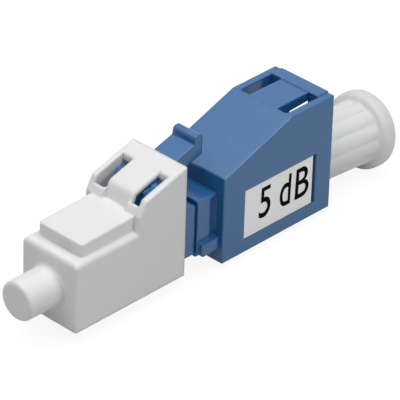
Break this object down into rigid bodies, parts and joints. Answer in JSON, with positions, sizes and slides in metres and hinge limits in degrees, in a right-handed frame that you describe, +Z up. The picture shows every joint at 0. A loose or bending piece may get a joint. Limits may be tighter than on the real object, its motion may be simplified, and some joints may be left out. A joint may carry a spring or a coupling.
{
  "type": "lc fibre attenuator",
  "caption": "Plug-in fixed attenuator for a fibre link: a latching square plug on one end, a socket on the other, with a dust cap over the plug and a fluted dust plug in the socket.",
  "frame": {"origin": "middle of the receptacle housing's underside", "axes": "+X along the fibre from the plug to the socket, +Z up towards the latch, label on the -Y side"},
  "size_m": [0.0391, 0.0064, 0.0116],
  "materials": {
    "blue_pbt": "fine spark-eroded mould texture, satin",
    "white_polypropylene": "smooth moulded, satin",
    "white_polyethylene": "soft moulded, slightly cloudy",
    "label_film": "printed film, satin",
    "zirconia": "ground and polished",
    "silica": "clear, polished ends",
    "stainless_steel": "turned"
  },
  "bodies": {
    "attenuator": {"receptacle_housing": "blue_pbt", "value_label": "label_film", "sleeve_holder": "blue_pbt", "ferrule": "zirconia", "doped_fibre": "silica", "ferrule_flange": "stainless_steel", "split_sleeve": "zirconia", "plug_shell": "blue_pbt"},
    "latch": {"latch_lever": "blue_pbt"},
    "front_cap": {"front_dust_cap": "white_polypropylene"},
    "rear_cap": {"rear_dust_plug": "white_polyethylene"}
  },
  "joints": [
    {"name": "latch_press", "type": "hinge", "parent": "attenuator", "child": "latch", "pos_m": [-0.01902, 0, 0.00642], "axis": [0, 1, 0], "range_deg": [0, 6], "stiffness_Nm_per_rad": 0.3},
    {"name": "front_cap_pull", "type": "slide", "parent": "attenuator", "child": "front_cap", "axis": [-1, 0, 0], "range_m": [0, 0.016]},
    {"name": "rear_plug_pull", "type": "slide", "parent": "attenuator", "child": "rear_cap", "axis": [0.9969, 0, -0.0785], "range_m": [0, 0.012]}
  ]
}
